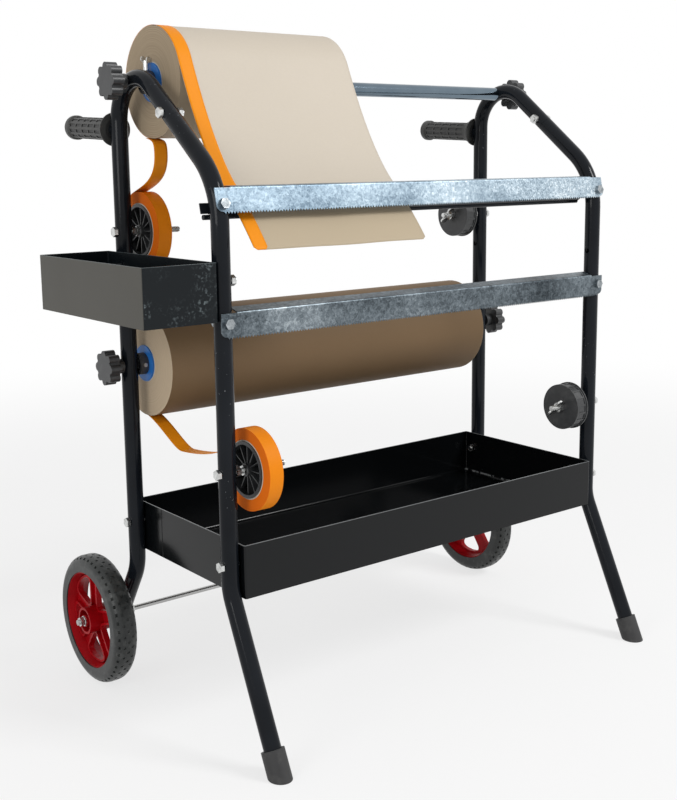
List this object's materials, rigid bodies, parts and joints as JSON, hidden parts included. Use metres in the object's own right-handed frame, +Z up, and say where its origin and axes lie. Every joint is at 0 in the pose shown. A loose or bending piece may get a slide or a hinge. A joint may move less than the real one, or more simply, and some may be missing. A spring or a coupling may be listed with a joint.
{
  "type": "masking paper dispenser",
  "caption": "Wheeled tube frame that holds two masking paper rolls on shafts, feeds each with its own tape reel and has toothed cutter bars, a tray and a side tool box.",
  "frame": {"origin": "middle of the base of the bounding box, on the floor", "axes": "+Z up, +X to the right seen from the front, the front with the cutter bars faces -Y"},
  "size_m": [0.9362, 0.556, 1.0032],
  "materials": {
    "frame_paint": "semi-gloss blue-black powder coat",
    "tray_paint": "gloss black paint",
    "box_paint": "satin grey-black paint",
    "galvanised": "hot-dip galvanised, crystalline spangle",
    "zinc": "bright zinc plate",
    "chrome": "polished chrome plate",
    "axle_steel": "drawn steel",
    "black_rubber": "matt rubber",
    "tyre_rubber": "matt moulded rubber",
    "red_plastic": "gloss moulded plastic",
    "blue_plastic": "moulded plastic",
    "black_plastic": "matt moulded plastic",
    "kraft_paper": "smooth unbleached paper",
    "cardboard": "wound grey-brown card",
    "orange_tape": "creped orange masking paper"
  },
  "bodies": {
    "root": {"left_rear_tube": "frame_paint", "right_rear_tube": "frame_paint", "left_front_tube": "frame_paint", "right_front_tube": "frame_paint", "left_foot": "black_rubber", "right_foot": "black_rubber", "left_grip": "black_rubber", "right_grip": "black_rubber", "main_tray": "tray_paint", "tool_box": "box_paint", "upper_cutter_bar": "galvanised", "lower_cutter_bar": "galvanised", "paper_guide_bar": "frame_paint", "upper_shaft": "chrome", "lower_shaft": "chrome", "shaft_end_plugs": "axle_steel", "axle": "axle_steel", "axle_nuts": "zinc", "frame_joint_bolts": "zinc", "tray_and_box_bolts": "zinc", "cutter_bar_bolts": "zinc", "hub_bolts": "zinc", "hub_lock_nuts": "zinc", "lower_left_collar": "black_plastic", "lower_left_set_screw": "zinc", "paper_web": "kraft_paper", "upper_tape_strip": "orange_tape", "lower_tape_strip": "orange_tape"},
    "left_wheel": {"left_wheel_rim": "red_plastic", "left_tyre": "tyre_rubber"},
    "right_wheel": {"right_wheel_rim": "red_plastic", "right_tyre": "tyre_rubber"},
    "upper_roll": {"upper_paper_roll": "kraft_paper", "upper_roll_core": "cardboard", "upper_core_plugs": "blue_plastic"},
    "lower_roll": {"lower_paper_roll": "kraft_paper", "lower_roll_core": "cardboard", "lower_core_plugs": "blue_plastic"},
    "upper_left_reel": {"upper_left_tape_hub": "black_plastic", "upper_tape_core": "cardboard", "upper_tape_roll": "orange_tape"},
    "lower_left_reel": {"lower_left_tape_hub": "black_plastic", "lower_tape_core": "cardboard", "lower_tape_roll": "orange_tape"},
    "upper_right_hub": {"upper_right_tape_hub": "black_plastic"},
    "lower_right_hub": {"lower_right_tape_hub": "black_plastic"},
    "upper_left_wing_nut_body": {"upper_left_wing_nut": "zinc"},
    "lower_left_wing_nut_body": {"lower_left_wing_nut": "zinc"},
    "upper_right_wing_nut_body": {"upper_right_wing_nut": "zinc"},
    "lower_right_wing_nut_body": {"lower_right_wing_nut": "zinc"},
    "upper_left_star_knob_body": {"upper_left_star_knob": "black_plastic"},
    "upper_right_star_knob_body": {"upper_right_star_knob": "black_plastic"},
    "lower_left_star_knob_body": {"lower_left_star_knob": "black_plastic"},
    "lower_right_star_knob_body": {"lower_right_star_knob": "black_plastic"},
    "upper_left_wing_screw_body": {"upper_left_wing_screw": "zinc"},
    "upper_right_wing_screw_body": {"upper_right_wing_screw": "zinc"},
    "upper_left_collar_body": {"upper_left_collar": "black_plastic"},
    "upper_right_collar_body": {"upper_right_collar": "black_plastic"},
    "lower_right_collar_body": {"lower_right_collar": "black_plastic", "lower_right_set_screw": "zinc"}
  },
  "joints": [
    {"name": "left_wheel_spin", "type": "hinge", "parent": "root", "child": "left_wheel", "pos_m": [-0.3875, 0.17649, 0.1015], "axis": [1, 0, 0], "continuous": true},
    {"name": "right_wheel_spin", "type": "hinge", "parent": "root", "child": "right_wheel", "pos_m": [0.4317, 0.17649, 0.1015], "axis": [1, 0, 0], "continuous": true},
    {"name": "upper_roll_spin", "type": "hinge", "parent": "root", "child": "upper_roll", "pos_m": [-0.1641, 0.07032, 0.92323], "axis": [1, 0, 0], "continuous": true},
    {"name": "lower_roll_spin", "type": "hinge", "parent": "root", "child": "lower_roll", "pos_m": [0.00135, 0.11609, 0.5104], "axis": [1, 0, 0], "continuous": true},
    {"name": "upper_left_reel_spin", "type": "hinge", "parent": "root", "child": "upper_left_reel", "pos_m": [-0.3089, 0.11609, 0.7104], "axis": [1, 0, 0], "continuous": true},
    {"name": "lower_left_reel_spin", "type": "hinge", "parent": "root", "child": "lower_left_reel", "pos_m": [-0.3049, -0.14971, 0.3963], "axis": [1, 0, 0], "continuous": true},
    {"name": "upper_right_hub_spin", "type": "hinge", "parent": "root", "child": "upper_right_hub", "pos_m": [0.3321, 0.11609, 0.7104], "axis": [1, 0, 0], "continuous": true},
    {"name": "lower_right_hub_spin", "type": "hinge", "parent": "root", "child": "lower_right_hub", "pos_m": [0.3321, -0.14971, 0.3963], "axis": [1, 0, 0], "continuous": true},
    {"name": "upper_left_star_knob_turn", "type": "hinge", "parent": "root", "child": "upper_left_star_knob_body", "pos_m": [-0.3755, 0.07032, 0.92323], "axis": [-1, 0, 0], "range_deg": [0, 340]},
    {"name": "upper_right_star_knob_turn", "type": "hinge", "parent": "root", "child": "upper_right_star_knob_body", "pos_m": [0.4197, 0.07032, 0.92323], "axis": [1, 0, 0], "range_deg": [0, 340]},
    {"name": "lower_left_star_knob_turn", "type": "hinge", "parent": "root", "child": "lower_left_star_knob_body", "pos_m": [-0.3755, 0.11609, 0.5104], "axis": [-1, 0, 0], "range_deg": [0, 340]},
    {"name": "lower_right_star_knob_turn", "type": "hinge", "parent": "root", "child": "lower_right_star_knob_body", "pos_m": [0.4197, 0.11609, 0.5104], "axis": [1, 0, 0], "range_deg": [0, 340]},
    {"name": "upper_left_wing_nut_turn", "type": "hinge", "parent": "root", "child": "upper_left_wing_nut_body", "pos_m": [-0.2919, 0.11609, 0.7104], "axis": [1, 0, 0], "range_deg": [0, 270]},
    {"name": "lower_left_wing_nut_turn", "type": "hinge", "parent": "root", "child": "lower_left_wing_nut_body", "pos_m": [-0.2879, -0.14971, 0.3963], "axis": [1, 0, 0], "range_deg": [0, 270]},
    {"name": "upper_right_wing_nut_turn", "type": "hinge", "parent": "root", "child": "upper_right_wing_nut_body", "pos_m": [0.3151, 0.11609, 0.7104], "axis": [-1, 0, 0], "range_deg": [0, 270]},
    {"name": "lower_right_wing_nut_turn", "type": "hinge", "parent": "root", "child": "lower_right_wing_nut_body", "pos_m": [0.3151, -0.14971, 0.3963], "axis": [-1, 0, 0], "range_deg": [0, 270]},
    {"name": "upper_left_collar_slide", "type": "slide", "parent": "root", "child": "upper_left_collar_body", "axis": [-1, 0, 0], "range_m": [0, 0.004]},
    {"name": "upper_right_collar_slide", "type": "slide", "parent": "root", "child": "upper_right_collar_body", "axis": [1, 0, 0], "range_m": [0, 0.3764]},
    {"name": "lower_right_collar_slide", "type": "slide", "parent": "root", "child": "lower_right_collar_body", "axis": [1, 0, 0], "range_m": [0, 0.0414]},
    {"name": "upper_left_wing_screw_turn", "type": "hinge", "parent": "upper_left_collar_body", "child": "upper_left_wing_screw_body", "pos_m": [-0.3229, 0.07032, 0.94323], "axis": [0, 0, 1], "range_deg": [0, 270]},
    {"name": "upper_right_wing_screw_turn", "type": "hinge", "parent": "upper_right_collar_body", "child": "upper_right_wing_screw_body", "pos_m": [-0.0053, 0.07032, 0.94323], "axis": [0, 0, 1], "range_deg": [0, 270]}
  ],
  "couplings": [
    {"joint": "upper_left_reel_spin", "follows": "upper_roll_spin", "ratio": 1.3552},
    {"joint": "lower_left_reel_spin", "follows": "lower_roll_spin", "ratio": -1.3931}
  ]
}
